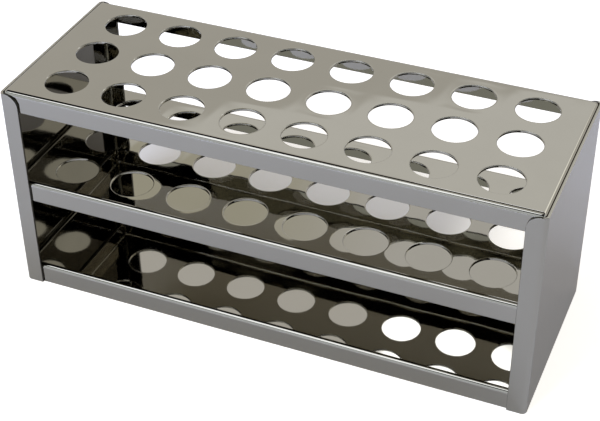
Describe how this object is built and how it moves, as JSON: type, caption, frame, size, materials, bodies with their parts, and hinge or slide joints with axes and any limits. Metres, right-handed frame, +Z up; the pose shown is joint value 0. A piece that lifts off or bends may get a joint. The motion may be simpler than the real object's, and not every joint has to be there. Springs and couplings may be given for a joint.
{
  "type": "test tube rack",
  "caption": "Three-tier folded aluminium test tube rack: two pierced shelves hold tubes upright over a plain floor shelf, between two end plates.",
  "frame": {"origin": "below the middle of the rack, on the surface it stands on", "axes": "+X along the rack to the right, +Y to the rear, +Z up"},
  "size_m": [0.228, 0.0844, 0.0973],
  "materials": {
    "pierced_sheet": "polished",
    "plain_sheet": "polished",
    "end_sheet": "satin"
  },
  "bodies": {
    "root": {"top_shelf": "pierced_sheet", "middle_shelf": "pierced_sheet", "bottom_shelf": "plain_sheet", "left_end_plate": "end_sheet", "right_end_plate": "end_sheet"}
  },
  "joints": []
}
